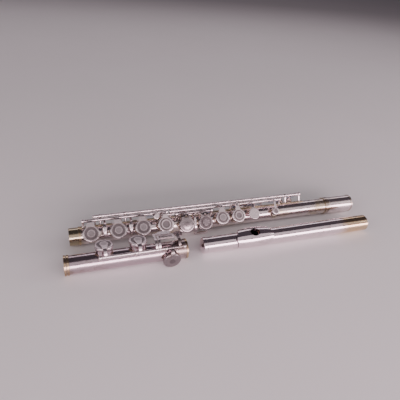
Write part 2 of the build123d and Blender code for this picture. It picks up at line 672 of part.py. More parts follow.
def adjusting_screw(station, hole_radius, cup_radius):
    """Small screw through the lug beside an arm."""
    y = cup_radius - LUG_INSET
    low = cup_top(hole_radius) + ARM_RISE - ARM - END_PLAY
    shank = Pos(station + LUG_X, y, low + 1.1) * Cylinder(LUG_SCREW_R, 2.2)
    top = Pos(station + LUG_X, y, low + 2.2 + 0.25) * Cylinder(LUG_SCREW_R + 0.35, 0.5)
    return shank + top


def body_keys():
    """Each moving key of the body section: its solids, closed, by node name."""
    keys = {}
    d_span, e_span, f_span, lever_span = split(
        after(MAIN_POSTS[0]), before(MAIN_POSTS[1]), D_AT + SLEEVE_PAST_D, E_AT + SLEEVE_PAST_E,
        F_AT + SLEEVE_PAST_F)
    shake_span, a_span, b_flat_span = split(
        after(MAIN_POSTS[3]), before(MAIN_POSTS[4]), A_AT - SLEEVE_BEFORE_A, A_AT + SLEEVE_PAST_A)

    right_hand = (("d", D_AT, d_span, 0.0), ("e", E_AT, e_span, LUG_X), ("f", F_AT, f_span, LUG_X))
    for name, at, span, lug in right_hand:
        key, soft = cup_key(at, 0.0, HOLE_R, "plateau", MAIN, [span], "flared", lug)
        keys[f"{name}_key"] = {f"{name}_key": key, f"{name}_pad": soft}
        if lug:
            cup_radius = HOLE_R + CUP_OVERHANG
            screw = adjusting_screw(at, HOLE_R, cup_radius)
            seat = Pos(at + lug, cup_radius - LUG_INSET, TUBE_R) * Cylinder(LUG_SCREW_R + FIT, 40)
            keys[f"{name}_key"][f"{name}_key"] = key - seat
            keys[f"{name}_key"][f"{name}_adjusting_screw"] = screw

    key, soft = cup_key(F_SHARP_AT, 0.0, HOLE_R, "ring", MAIN,
                        [(after(MAIN_POSTS[1]), before(MAIN_POSTS[2]))], "short")
    keys["f_sharp_key"] = {"f_sharp_key": key, "f_sharp_pad": soft}

    key, soft = cup_key(A_AT, 0.0, HIGH_HOLE_R, "plateau", MAIN, [a_span], "flared")
    keys["a_key"] = {"a_key": key, "a_pad": soft}

    key, soft = cup_key(B_FLAT_AT, 0.0, HIGH_HOLE_R, "ring", MAIN, [shake_span, b_flat_span], "short",
                        pinned=(MAIN_POSTS[3] - POST_HALF, MAIN_POSTS[4]))
    keys["b_flat_key"] = {"b_flat_key": key, "b_flat_pad": soft}

    g_span = [(after(G_POSTS[0]), before(G_POSTS[1]))]
    lower, lower_pad = cup_key(LOWER_G_AT, G_ANGLE, HOLE_R, "dome", G_LINE, g_span, "fork")
    upper, upper_pad = cup_key(UPPER_G_AT, G_ANGLE, UPPER_G_HOLE_R, "plateau", G_LINE, g_span, "fork")
    keys["g_key"] = {"g_key": lower + upper, "g_pads": joined([lower_pad, upper_pad])}

    c_span = (after(MAIN_POSTS[4]), before(MAIN_POSTS[5]))
    key, soft = cup_key(C_SHARP_AT, 0.0, SMALL_HOLE_R, "dish", MAIN, [c_span], "short",
                        overhang=SMALL_CUP_OVERHANG)
    touch = Pos(Z=C_TOUCH_LEVEL) * Cylinder(C_TOUCH_R, C_TOUCH_THICK)
    touch = fillet(touch.faces().sort_by(Axis.Z)[-1].edges(), C_TOUCH_THICK * 0.5)
    side_view = band(*MAIN, C_TOUCH_LEVEL, 0.0, C_TOUCH_R - 1.5)
    touch += cut_arm(side_view, link(disc(0, 4.0, 2.4), disc(0, MAIN[0], ARM_TIP_R)))
    key += Pos(X=C_TOUCH_AT) * touch
    key -= x_rod(SLEEVE_BORE_R, c_span[0] - 1, c_span[1] + 1, MAIN)
    keys["c_key"] = {"c_key": key, "c_sharp_pad": soft}

    lever = x_rod(SLEEVE_R, *lever_span, MAIN)
    lever += x_rod(SHAKE_BAR_R, SHAKE_TOUCH_AT - 2.4, SHAKE_BAR_END, SHAKE_BAR)
    web = strap([MAIN, ((MAIN[0] + SHAKE_BAR[0]) / 2, (MAIN[1] + SHAKE_BAR[1]) / 2), SHAKE_BAR], 3.0)
    lever += Pos(X=SHAKE_TOUCH_AT - 1.8) * web
    stalk = Pos(SHAKE_TOUCH_AT, SHAKE_BAR[0] - 0.3, (SHAKE_BAR[1] + SHAKE_TOUCH_Z) / 2)
    lever += stalk * Cylinder(0.9, SHAKE_TOUCH_Z - SHAKE_BAR[1])
    button = Pos(SHAKE_TOUCH_AT, SHAKE_BAR[0] - 0.6, SHAKE_TOUCH_Z) * Cylinder(SHAKE_TOUCH_R, 1.6)
    lever += fillet(button.faces().sort_by(Axis.Z)[-1].edges(), 1.0)
    lever -= x_rod(SLEEVE_BORE_R, lever_span[0] - 1, lever_span[1] + 1, MAIN)
    keys["b_flat_shake_lever"] = {"b_flat_shake_lever": lever}

    d_trill, d_trill_pad = cup_key(D_TRILL_AT, TRILL_ANGLE, SMALL_HOLE_R, "dome", TRILL,
                                   [(after(TRILL_POSTS[1]), before(TRILL_POSTS[2]))], "wedge",
                                   overhang=SMALL_CUP_OVERHANG)
    d_trill += trill_touch(D_TRILL_TOUCH_AT, D_TRILL_TOUCH_AT + TRILL_ARM_SHIFT)
    d_trill -= x_rod(SLEEVE_BORE_R, TRILL_POSTS[1], TRILL_POSTS[2], TRILL)
    keys["d_trill_key"] = {"d_trill_key": d_trill, "d_trill_pad": d_trill_pad}

    bullet = (TRILL_ROD_START, before(TRILL_POSTS[0]))
    collar_end = before(TRILL_POSTS[3]) - 2 * END_PLAY
    collar = (collar_end - TRILL_COLLAR, collar_end)
    upper_span = (after(TRILL_POSTS[2]), collar[0])
    d_sharp, d_sharp_pad = cup_key(
        D_SHARP_TRILL_AT, TRILL_ANGLE, SMALL_HOLE_R, "dome", TRILL,
        [(after(TRILL_POSTS[0]), before(TRILL_POSTS[1])), upper_span], "wedge",
        pinned=(TRILL_ROD_START, TRILL_ROD_END), overhang=SMALL_CUP_OVERHANG)
    d_sharp += trill_touch(D_SHARP_TOUCH_AT, D_SHARP_TOUCH_AT + TRILL_ARM_SHIFT)
    end_piece = x_rod(BULLET_R, *bullet, TRILL)
    d_sharp += fillet(end_piece.faces().sort_by(Axis.X)[0].edges(), BULLET_R * 0.8)
    d_sharp += x_rod(BULLET_R, *collar, TRILL)
    keys["d_sharp_trill_key"] = {"d_sharp_trill_key": d_sharp, "d_sharp_trill_pad": d_sharp_pad}

    keys["g_sharp_key"] = g_sharp_key()
    keys.update(thumb_keys())
    return keys


def g_sharp_key():
    """Closed G sharp key: its bar crosses the tube between the two G cups."""
    cup_radius = G_SHARP_HOLE_R + CUP_OVERHANG
    solid = cup_shell(G_SHARP_HOLE_R, cup_radius, "dome")
    solid += cup_arm(G_SHARP_HOLE_R, cup_radius, seen_from(G_SHARP_ANGLE, G_SHARP_LINE), "wedge")
    key = on_tube(G_SHARP_AT, G_SHARP_ANGLE, solid)
    start, end = after(G_SHARP_POSTS[0]), before(G_SHARP_POSTS[1])
    key += x_rod(SMALL_SLEEVE_R, start, end, G_SHARP_LINE)
    touch_turn = math.radians(G_SHARP_TOUCH_ANGLE)
    landing = (-G_SHARP_TOUCH_RHO * math.sin(touch_turn), G_SHARP_TOUCH_RHO * math.cos(touch_turn))
    over = TUBE_R + G_SHARP_BAR_RISE
    path = [G_SHARP_LINE, (G_SHARP_LINE[0] - 1.1, G_SHARP_LINE[1] + 3.3),
            (G_SHARP_LINE[0] - 3.8, over - 0.6), (0.0, over), (-G_SHARP_BAR_RISE * 1.9, over - 0.4),
            (landing[0] + 1.4, landing[1] + 2.6), landing]
    key += Pos(X=G_SHARP_BAR_AT) * strap(path, G_SHARP_BAR_WIDE)
    plan = link(disc(0, 0, 1.6), disc(G_SHARP_TOUCH_LONG - 4.2, 0, 2.8))
    plate = Pos(Z=G_SHARP_TOUCH_RHO - ARM / 2) * extrude(plan, amount=ARM)
    key += on_tube(G_SHARP_BAR_AT, G_SHARP_TOUCH_ANGLE, plate)
    key -= x_rod(SLEEVE_BORE_R, start - 1, end + 1, G_SHARP_LINE)
    soft = on_tube(G_SHARP_AT, G_SHARP_ANGLE, pad(G_SHARP_HOLE_R, cup_radius))
    return {"g_sharp_key": key, "g_sharp_pad": soft}


def thumb_keys():
    """Thumb key over the hole at the back, and the thumb's B flat lever beside it."""
    key_span, lever_span = split(
        after(THUMB_POSTS[0]), before(THUMB_POSTS[1]), THUMB_AT + SLEEVE_PAST_THUMB)
    key, soft = cup_key(THUMB_AT, THUMB_ANGLE, THUMB_HOLE_R, "dome", THUMB_LINE, [key_span], "wedge")
    level = cup_top(THUMB_HOLE_R) + DOME_RISE
    plate = link(disc(-THUMB_TOUCH_LONG, 0, THUMB_TOUCH_R), disc(0, 0, THUMB_TOUCH_R + 1))
    key += on_tube(THUMB_AT, THUMB_ANGLE, Pos(Z=level - ARM / 2) * extrude(plate, amount=ARM))
    across, up = seen_from(THUMB_ANGLE, THUMB_LINE)
    side_view = band(across, up, level, -THUMB_TOUCH_R, THUMB_TOUCH_R)
    middle = (lever_span[0] + lever_span[1]) / 2
    half = THUMB_LEVER_LONG / 2
    plan = link(disc(0, across, ARM_TIP_R), disc(0, 0, ARM_TIP_R))
    plan += link(disc(-half, 0, THUMB_TOUCH_R - 1), disc(half, 0, THUMB_TOUCH_R - 1))
    lever = on_tube(middle, THUMB_ANGLE, cut_arm(side_view, plan))
    lever = side_key(lever, THUMB_LINE, [lever_span])
    return {
        "thumb_b_key": {"thumb_b_key": key, "thumb_b_pad": soft},
        "thumb_b_flat_lever": {"thumb_b_flat_lever": lever},
    }


# ================================================================== foot section
FOOT_HOLES = (
    (LOW_C_AT, 0.0, HOLE_R), (LOW_C_SHARP_AT, 0.0, HOLE_R), (LOW_D_SHARP_AT, LOW_D_SHARP_ANGLE, HOLE_R),
)


def foot_statics():
    nodes = {}
    nodes["foot_tube"] = bored_tube(0.0, FOOT_TUBE_END, FOOT_HOLES, [(SOCKET_START, FOOT_TUBE_END)])
    nodes["foot_socket"] = sleeve(SOCKET_R, SOCKET_START, FOOT_TUBE_END, FOOT_LENGTH)
    rings = [x_tube(SOCKET_RING_R, SOCKET_R, FOOT_LENGTH - SOCKET_RING, FOOT_LENGTH)]
    for start in (0.0, END_RING + END_RING_GAP):
        rings.append(x_tube(END_RING_R, TUBE_R, start, start + END_RING))
    nodes["foot_rings"] = joined(rings)
    nodes["foot_rib"] = rib(*FOOT_RIB, *FOOT_RIB_ANGLES, FOOT_HOLES)
    seats = (TUBE_R, RIB_R, TUBE_R, SOCKET_R)
    nodes["foot_posts"] = joined([post(at, FOOT_LINE, seat) for at, seat in zip(FOOT_POSTS, seats)])
    nodes["foot_steel"] = x_rod(STEEL_R, FOOT_POSTS[2] + END_PLAY, FOOT_POSTS[3] + POST_HALF, FOOT_LINE)
    nodes["foot_springs"] = joined([spring(*values) for values in FOOT_SPRINGS])
    return nodes


def foot_touch(level, plan):
    side_view = Pos(X=LOW_D_SHARP_AT) * band(*FOOT_LINE, level, -12.0, 6.4)
    return cut_arm(side_view, plan)


def foot_keys():
    keys = {}
    c_span = (after(FOOT_POSTS[0]), before(FOOT_POSTS[1]))
    c_sharp_span, c_touch_span = split(
        after(FOOT_POSTS[1]), before(FOOT_POSTS[2]), FOOT_POSTS[2] - LOW_C_SLEEVE)
    hinge_y = FOOT_LINE[0]

    key, soft = cup_key(LOW_C_AT, 0.0, HOLE_R, "plateau", FOOT_LINE, [c_span, c_touch_span], "wedge",
                        pinned=(FOOT_POSTS[0] - POST_HALF, FOOT_POSTS[2]), overhang=FOOT_CUP_OVERHANG)
    arm_at = c_touch_span[0] + 1.6
    frame_middle = ((ROLLER_SPAN[0] + ROLLER_SPAN[1]) / 2, ROLLER_Y)
    frame = Pos(*frame_middle) * Rectangle(ROLLER_SPAN[1] - ROLLER_SPAN[0] + 5.2, 2 * ROLLER_R + 2.2)
    window = Rectangle(ROLLER_SPAN[1] - ROLLER_SPAN[0] + 2 * END_PLAY, 2 * ROLLER_R + 0.8)
    frame -= Pos(*frame_middle) * window
    plan = link(disc(arm_at, hinge_y, 1.2), disc(arm_at, ROLLER_Y - ROLLER_R, 1.2)) + frame
    key += foot_touch(TOUCH_LEVEL, plan)
    axle = (ROLLER_Y, TOUCH_LEVEL - ROLLER_SINK)
    for x in (ROLLER_SPAN[0] - END_PLAY - 1.15, ROLLER_SPAN[1] + END_PLAY + 1.15):
        key += Pos(x, axle[0], TOUCH_LEVEL - 0.8) * Box(2.3, 2.8, 2.6)
    journal = (ROLLER_SPAN[0] - 1.8, ROLLER_SPAN[1] + 1.8)
    key -= x_rod(JOURNAL_R + FIT, *journal, axle)
    keys["low_c_key"] = {"low_c_key": key, "low_c_pad": soft}
    barrel = x_rod(ROLLER_R, *ROLLER_SPAN, axle)
    barrel = fillet(barrel.edges(), 0.5)
    barrel += x_rod(JOURNAL_R, journal[0] + FIT, journal[1] - FIT, axle)
    keys["low_c_roller"] = {"low_c_roller": barrel}

    key, soft = cup_key(LOW_C_SHARP_AT, 0.0, HOLE_R, "plateau", FOOT_LINE, [c_sharp_span], "wedge",
                        overhang=FOOT_CUP_OVERHANG)
    arm_at = c_sharp_span[1] - 1.5
    plan = link(disc(arm_at, hinge_y, 1.2), disc(arm_at, C_SHARP_TOUCH_Y - 1.2, 1.2))
    plan += link(disc(arm_at, C_SHARP_TOUCH_Y - 1.2, 1.2), disc(arm_at + 8.0, C_SHARP_TOUCH_Y - 0.6, 1.4))
    plan += link(disc(arm_at + 7.6, C_SHARP_TOUCH_Y, 3.4), disc(arm_at + 15.6, C_SHARP_TOUCH_Y, 3.4))
    key += foot_touch(TOUCH_LEVEL, plan)
    key -= x_rod(SLEEVE_BORE_R, c_sharp_span[0] - 1, c_sharp_span[1] + 1, FOOT_LINE)
    keys["low_c_sharp_key"] = {"low_c_sharp_key": key, "low_c_sharp_pad": soft}

    d_span = (after(FOOT_POSTS[2]), before(FOOT_POSTS[3]))
    key, soft = cup_key(LOW_D_SHARP_AT, LOW_D_SHARP_ANGLE, HOLE_R, "dome", FOOT_LINE, [d_span], "wedge",
                        overhang=FOOT_CUP_OVERHANG)
    arm_at = d_span[1] - 3.3
    plan = link(disc(arm_at, hinge_y, 1.3), disc(arm_at + 0.6, -4.0, 1.8))
    plan += link(disc(arm_at + 2.5, -0.5, 4.2), disc(arm_at + 3.0, 4.4, 4.8))
    key += foot_touch(TOUCH_LEVEL + 0.5, plan)
    key -= x_rod(SLEEVE_BORE_R, d_span[0] - 1, d_span[1] + 1, FOOT_LINE)
    keys["low_d_sharp_key"] = {"low_d_sharp_key": key, "low_d_sharp_pad": soft}
    return keys


# ================================================================== head section
def head_radius(x):
    """Outer radius of the tapered head tube at a station."""
    share = min(max((x - HEAD_TUBE_START) / (TAPER_END - HEAD_TUBE_START), 0.0), 1.0)
    return HEAD_CROWN_R + share * (TUBE_R - HEAD_CROWN_R)


def turned_on_x(points):
    """Solid of revolution about X from (x, radius) corners."""
    corners = [(x, 0, radius) for x, radius in points]
    return revolve(make_face(Polyline(*corners, close=True)), Axis.X)


def lip_shell(lower, upper):
    """Solid between two levels under the lip plate's top, curved along and across the tube."""
    centre = LIP_HIGH - LIP_BEND_R
    half = LIP_LONG / 2

    def arc(inset):
        end = LIP_HIGH - inset - LIP_DROP
        return ThreePointArc((-half, 0, end), (0, 0, LIP_HIGH - inset), (half, 0, end))

    top, bottom = arc(upper), arc(lower)
    face = make_face([top, Line(top @ 1, bottom @ 1), bottom, Line(bottom @ 0, top @ 0)])
    return Pos(X=EMBOUCHURE_AT) * revolve(face, Axis((0, 0, centre), (1, 0, 0)))


def oval(long, wide):
    return Pos(EMBOUCHURE_AT, 0, 0) * extrude(Ellipse(long / 2, wide / 2), amount=2 * LIP_HIGH)


def lip_plan():
    """Upright block of the lip plate's outline, shorter along its back edge."""
    across = LIP_WIDE / 2 - LIP_CORNER_R
    corners = []
    for long, side in ((LIP_LONG, -1), (LIP_BACK_LONG, 1)):
        for end in (-1, 1):
            corners += disc(end * (long / 2 - LIP_CORNER_R), side * across, LIP_CORNER_R).edges()
    return Pos(X=EMBOUCHURE_AT) * extrude(make_hull(corners), amount=2 * LIP_HIGH)


def head_statics():
    nodes = {}
    outer = turned_on_x([(HEAD_TUBE_START, 0), (HEAD_TUBE_START, HEAD_CROWN_R), (TAPER_END, TUBE_R),
                         (HEAD_LENGTH, TUBE_R), (HEAD_LENGTH, 0)])
    bore = turned_on_x([(HEAD_TUBE_START, 0), (HEAD_TUBE_START, HEAD_CROWN_R - WALL),
                        (TAPER_END, BORE_R), (HEAD_LENGTH, BORE_R), (HEAD_LENGTH, 0)])
    mouth = oval(EMBOUCHURE_LONG, EMBOUCHURE_WIDE)
    nodes["head_tube"] = outer - bore - mouth
    plate = lip_shell(LIP_THICK, 0.0) & lip_plan()
    nodes["lip_plate"] = plate - mouth
    wall = oval(EMBOUCHURE_LONG + 2 * RISER_WALL, EMBOUCHURE_WIDE + 2 * RISER_WALL) - mouth
    nodes["riser"] = (wall & lip_shell(LIP_HIGH - HEAD_CROWN_R / 2, LIP_THICK)) - outer
    face = EMBOUCHURE_AT - STOPPER_FROM_HOLE
    cork_end = face - STOPPER_PLATE
    cork_start = cork_end - STOPPER_LENGTH
    cork_r = head_radius(cork_start) - WALL - FIT
    nodes["stopper_cork"] = x_tube(cork_r, SCREW_R + FIT, cork_start, cork_end)
    nodes["stopper_screw"] = x_rod(SCREW_R, SCREW_START, cork_end) + x_rod(cork_r, cork_end, face)
    nodes["stopper_nut"] = x_tube(cork_r - 1.0, SCREW_R + FIT, cork_start - STOPPER_PLATE, cork_start)
    return nodes


def crown():
    neck_r = HEAD_CROWN_R - WALL - FIT
    end = CROWN_LENGTH + CROWN_NECK
    dome = Spline((0, 0, 0), (CROWN_DOME * 0.55, 0, CROWN_R * 0.78), (CROWN_DOME, 0, CROWN_R),
                  tangents=[(0, 0, 1), (1, 0, 0.1)])
    blind = SCREW_START - END_PLAY
    corners = [(CROWN_DOME, CROWN_R), (CROWN_LENGTH, CROWN_R), (CROWN_LENGTH, neck_r), (end, neck_r),
               (end, SCREW_R + FIT), (blind, SCREW_R + FIT), (blind, 0), (0, 0)]
    rest = Polyline(*[(x, 0, radius) for x, radius in corners])
    return revolve(make_face([dome, *rest.edges()]), Axis.X)


# ================================================================== what moves, and how
# keys that stand open: (hinge line, angle of the cup about the axis)
OPEN_KEYS = {
    "d_key": (MAIN, 0.0),
    "e_key": (MAIN, 0.0),
    "f_key": (MAIN, 0.0),
    "f_sharp_key": (MAIN, 0.0),
    "g_key": (G_LINE, G_ANGLE),
    "a_key": (MAIN, 0.0),
    "b_flat_key": (MAIN, 0.0),
    "c_key": (MAIN, 0.0),
    "thumb_b_key": (THUMB_LINE, THUMB_ANGLE),
    "thumb_b_flat_lever": (THUMB_LINE, THUMB_ANGLE),
    "low_c_key": (FOOT_LINE, 0.0),
    "low_c_roller": (FOOT_LINE, 0.0),
    "low_c_sharp_key": (FOOT_LINE, 0.0),
}
SECTIONS = {
    "body": Pos(0, 0, BODY_HEIGHT) * Rot(X=BODY_ROLL),
    "foot": Pos(FOOT_AT, -FOOT_FRONT, FOOT_HEIGHT) * Rot(X=FOOT_ROLL),
    "head": Pos(HEAD_AT, -HEAD_FRONT, HEAD_HEIGHT) * Rot(X=HEAD_ROLL),
}
TAILS = {"d_key": BUMPERS[0], "e_key": BUMPERS[1], "f_key": BUMPERS[2], "f_sharp_key": BUMPERS[3],
         "a_key": BUMPERS[4], "b_flat_key": BUMPERS[5], "c_key": BUMPERS[6]}


def at_rest(body_name, name, solid):
    """Turns a closed key to where its spring holds it."""
    if body_name in OPEN_KEYS:
        line, angle = OPEN_KEYS[body_name]
        solid = turned(solid, line, lift_angle(angle, line, CUP_LIFT))
    if name in TAILS:
        solid += tail(TAILS[name], MAIN, RIB_R)
    if name == "b_flat_key":
        tab = Box(SHAKE_TAB_WIDE, SHAKE_TAB, SHAKE_TAB_THICK)
        middle = SHAKE_BAR_END - SHAKE_TAB_WIDE / 2
        solid += Pos(middle, MAIN[0] - STEEL_R - SHAKE_TAB / 2, MAIN[1]) * tab
    return solid


def model():
    """All nodes by name, and the node names of each moving body, before the origin is set."""
    nodes = {}
    bodies = {"body": [], "head": [], "foot": []}
    statics = {"body": body_statics(), "head": head_statics(), "foot": foot_statics()}
    for section, solids in statics.items():
        for name, solid in solids.items():
            nodes[name] = SECTIONS[section] * solid
            bodies[section].append(name)
    for section, keys in (("body", body_keys()), ("foot", foot_keys())):
        for body_name, solids in keys.items():
            bodies[body_name] = list(solids)
            for name, solid in solids.items():
                nodes[name] = SECTIONS[section] * at_rest(body_name, name, solid)
    nodes["crown"] = SECTIONS["head"] * crown()
    bodies["crown"] = ["crown"]
    return nodes, bodies


def origin_shift(nodes):
    """Move that puts the origin under the middle of everything, on the surface."""
    boxes = [solid.bounding_box() for solid in nodes.values()]
    low = [min(getattr(box.min, axis) for box in boxes) for axis in "XYZ"]
    high = [max(getattr(box.max, axis) for box in boxes) for axis in "XYZ"]
    return Pos(-(low[0] + high[0]) / 2, -(low[1] + high[1]) / 2, -low[2])


if __name__ == "__main__":
    os.makedirs("parts", exist_ok=True)
    solids, _ = model()
    shift = origin_shift(solids)
    for name, solid in solids.items():
        export_step(shift * solid, f"parts/{name}.step")
    print(len(solids), "nodes; origin shift", shift.position)
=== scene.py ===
"""Finish, pads, floor, light and camera for a concert flute in its three sections."""
import json
import math

import bmesh
import bpy
from mathutils import Matrix, Vector, noise


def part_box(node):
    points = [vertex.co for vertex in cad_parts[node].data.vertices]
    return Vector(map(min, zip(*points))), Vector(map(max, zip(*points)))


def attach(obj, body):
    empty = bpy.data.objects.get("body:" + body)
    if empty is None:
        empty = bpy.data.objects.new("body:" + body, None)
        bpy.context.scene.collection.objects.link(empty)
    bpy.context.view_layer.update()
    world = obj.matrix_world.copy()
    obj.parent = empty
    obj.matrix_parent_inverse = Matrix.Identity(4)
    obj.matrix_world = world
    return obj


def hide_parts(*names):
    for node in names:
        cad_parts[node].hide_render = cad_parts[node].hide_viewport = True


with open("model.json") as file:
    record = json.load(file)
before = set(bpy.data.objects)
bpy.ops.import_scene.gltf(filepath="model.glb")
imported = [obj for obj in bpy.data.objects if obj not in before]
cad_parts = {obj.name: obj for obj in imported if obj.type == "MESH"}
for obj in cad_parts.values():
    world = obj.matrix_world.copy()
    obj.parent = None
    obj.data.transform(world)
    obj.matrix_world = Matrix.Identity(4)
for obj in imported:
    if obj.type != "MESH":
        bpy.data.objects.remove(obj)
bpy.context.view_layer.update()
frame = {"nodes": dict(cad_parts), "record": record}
nodes = frame["nodes"]
MM = 0.001

CAMERA_AT = (-0.1840, -0.3498, 0.3089)
CAMERA_TURN = (22.48, 33.61, 6.77)   # yaw, pitch and roll in degrees
LENS = 36.92                         # on a sensor 36 mm wide

# Colours of the plate where it is clean, and of what shows or gathers where it isn't; the stain colours also
# paint shade into crevices.
SILVER = (0.86, 0.76, 0.77)
ROSE = (0.87, 0.75, 0.79)
FOOT_SILVER = (0.74, 0.65, 0.67)
FOOT_TUBE = (0.56, 0.46, 0.50)
BRASS = (0.66, 0.51, 0.33)
BRASS_WORN = (0.66, 0.50, 0.31)
OLIVE = (0.50, 0.43, 0.29)
BROWN = (0.33, 0.26, 0.22)
CUP_STAIN_AND_SHADE = (0.34, 0.29, 0.26)
# Some cups are painted darker than the rest, as painted shade on the same plate.
CUP_SHADE_TONES = {"d_key": 0.72, "e_key": 0.72, "f_key": 0.74, "g_key": 0.4, "a_key": 0.85,
             "low_d_sharp_key": 0.42}

DIRT_AND_SHADE_REACH = 1.6 * MM               # how close surfaces stand where dirt and painted shade gather
TENON_WORN = (46 * MM, 28 * MM)      # from the head tube's end: bare brass begins, and is full
SCRATCH_DEPTH = 0.02 * MM

# A cup's top, with heights from the middle of its pad: full at the second, none at the first. Its sunk floor
# and hub are painted darker, as painted shade.
CUP_TOP = (1.0 * MM, 1.4 * MM)
CUP_RIM = (1.9 * MM, 2.05 * MM)      # the sunk floor ends below the rim
CUP_FLOOR = (1.55 * MM, 1.15 * MM)   # the sunk floor ends this far inside the pad's edge
CUP_HUB = (3.0 * MM, 3.6 * MM)       # radius of the hub in its middle

SEAT_INSET = 1.2 * MM                # the hole's rim presses the pad this far inside its edge


# ------------------------------------------------------------------ camera
def look(yaw, pitch, roll):
    """Rotation of a camera that looks along +Y at zero, turned right, tipped down and rolled, in degrees."""
    yaw, pitch, roll = (math.radians(a) for a in (yaw, pitch, roll))
    forward = Vector((math.sin(yaw) * math.cos(pitch), math.cos(yaw) * math.cos(pitch), -math.sin(pitch)))
    level = Vector((math.cos(yaw), -math.sin(yaw), 0))
    above = level.cross(forward)
    right = math.cos(roll) * level + math.sin(roll) * above
    up = math.cos(roll) * above - math.sin(roll) * level
    return Matrix((right, up, -forward)).transposed()


def add_camera():
    data = bpy.data.cameras.new("camera")
    data.lens = LENS
    data.sensor_width = 36.0
    data.clip_start = 0.01
    camera = bpy.data.objects.new("camera", data)
    camera.matrix_world = look(*CAMERA_TURN).to_4x4()
    camera.location = CAMERA_AT
    bpy.context.scene.collection.objects.link(camera)
    bpy.context.scene.camera = camera


# ------------------------------------------------------------------ discs
def islands(obj):
    """Vertex positions of each separate solid in a node."""
    mesh = bmesh.new()
    mesh.from_mesh(obj.data)
    bmesh.ops.remove_doubles(mesh, verts=mesh.verts, dist=1e-6)
    left = set(mesh.verts)
    groups = []
    while left:
        edge, group = [left.pop()], []
        while edge:
            vert = edge.pop()
            group.append(vert.co.copy())
            for link in vert.link_edges:
                other = link.other_vert(vert)
                if other in left:
                    left.remove(other)
                    edge.append(other)
        groups.append(group)
    mesh.free()
    return groups


def disc_frame(points):
    """Centre, axis, radius and thickness of a flat round solid, its axis being the way it spreads least."""
    centre = sum(points, Vector()) / len(points)
    spread = Matrix(((0, 0, 0), (0, 0, 0), (0, 0, 0)))
    for point in points:
        out = (point - centre) / MM
        for i in range(3):
            spread[i] += out * out[i]
    narrow = spread.inverted()
    axis = Vector((0.3, 0.5, 0.8))
    for _ in range(20):
        axis = (narrow @ axis).normalized()
    thick = max((p - centre).dot(axis) for p in points) * 2
    radius = max(((p - centre) - (p - centre).dot(axis) * axis).length for p in points)
    return centre, axis, radius, thick


def turned_out(name, points):
    """Frame of one pad, with its axis pointing away from the tube that it closes."""
    centre, axis, radius, thick = disc_frame(points)
    low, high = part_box("foot_tube" if name.startswith("low_") else "body_tube")
    middle = Vector((centre.x, (low.y + high.y) / 2, (low.z + high.z) / 2))
    return centre, axis if axis.dot(centre - middle) > 0 else -axis, radius, thick


# ------------------------------------------------------------------ materials
class Graph:
    """Small helper for building one material's nodes."""

    def __init__(self, name):
        self.material = bpy.data.materials.new(name)
        self.material.use_nodes = True
        self.tree = self.material.node_tree
        self.shader = self.tree.nodes["Principled BSDF"]
        self.place = self.add("ShaderNodeTexCoord").outputs["Object"]

    def add(self, kind, **values):
        node = self.tree.nodes.new(kind)
        for key, value in values.items():
            setattr(node, key, value)
        return node

    def link(self, source, target):
        self.tree.links.new(source, target)

    def stretched(self, scale):
        node = self.add("ShaderNodeMapping")
        node.inputs["Scale"].default_value = scale
        self.link(self.place, node.inputs["Vector"])
        return node.outputs["Vector"]

    def noise(self, scale, detail=4.0, stretch=(1, 1, 1), roughness=0.55, distortion=0.0):
        node = self.add("ShaderNodeTexNoise")
        node.inputs["Scale"].default_value = scale
        node.inputs["Detail"].default_value = detail
        node.inputs["Roughness"].default_value = roughness
        node.inputs["Distortion"].default_value = distortion
        self.link(self.stretched(stretch), node.inputs["Vector"])
        return node.outputs["Fac"]

    def remap(self, value, low, high, to_low=0.0, to_high=1.0):
        node = self.add("ShaderNodeMapRange", interpolation_type="SMOOTHSTEP")
        self.link(value, node.inputs["Value"])
        for key, number in (("From Min", low), ("From Max", high), ("To Min", to_low), ("To Max", to_high)):
            node.inputs[key].default_value = number
        return node.outputs["Result"]

    def math(self, operation, first, second):
        node = self.add("ShaderNodeMath", operation=operation)
        for socket, value in zip(node.inputs, (first, second)):
            if isinstance(value, (int, float)):
                socket.default_value = value
            else:
                self.link(value, socket)
        return node.outputs[0]

    def mix(self, factor, first, second):
        node = self.add("ShaderNodeMix", data_type="RGBA")
        for socket, value in zip((node.inputs[0], node.inputs[6], node.inputs[7]), (factor, first, second)):
            if isinstance(value, (int, float)):
                socket.default_value = value
            elif isinstance(value, tuple):
                socket.default_value = (*value, 1.0)
            else:
                self.link(value, socket)
        return node.outputs[2]

    def along(self, axis):
        node = self.add("ShaderNodeSeparateXYZ")
        self.link(self.place, node.inputs[0])
        return node.outputs["XYZ".index(axis)]

    def crevice(self, distance):
        node = self.add("ShaderNodeAmbientOcclusion", samples=6)
        node.inputs["Distance"].default_value = distance
        return node.outputs["AO"]

    def vector(self, operation, *values, output="Vector"):
        node = self.add("ShaderNodeVectorMath", operation=operation)
        for socket, value in zip(node.inputs, values):
            if isinstance(value, Vector):
                socket.default_value = value
            else:
                self.link(value, socket)
        return node.outputs[output]

    def cup_masks(self, cups):
        """Masks of the cups' sunk floors and of their hubs, from (centre, axis, pad radius) of each."""
        floors, hubs = 0.0, 0.0
        for centre, axis, radius in cups:
            offset = self.vector("SUBTRACT", self.place, centre)
            high = self.vector("DOT_PRODUCT", offset, axis, output="Value")
            out = self.vector("LENGTH", self.vector("CROSS_PRODUCT", offset, axis), output="Value")
            top = self.remap(high, *CUP_TOP)
            inside = self.remap(out, *(radius - inset for inset in CUP_FLOOR), 1.0, 0.0)
            low = self.remap(high, *CUP_RIM, 1.0, 0.0)
            floor = self.math("MULTIPLY", top, self.math("MULTIPLY", inside, low))
            middle = self.math("MULTIPLY", top, self.remap(out, *CUP_HUB, 1.0, 0.0))
            floors, hubs = self.math("MAXIMUM", floor, floors), self.math("MAXIMUM", middle, hubs)
        return floors, hubs

    def bump(self, height, strength, distance):
        node = self.add("ShaderNodeBump")
        node.inputs["Strength"].default_value = strength
        node.inputs["Distance"].default_value = distance
        self.link(height, node.inputs["Height"])
        self.link(node.outputs["Normal"], self.shader.inputs["Normal"])


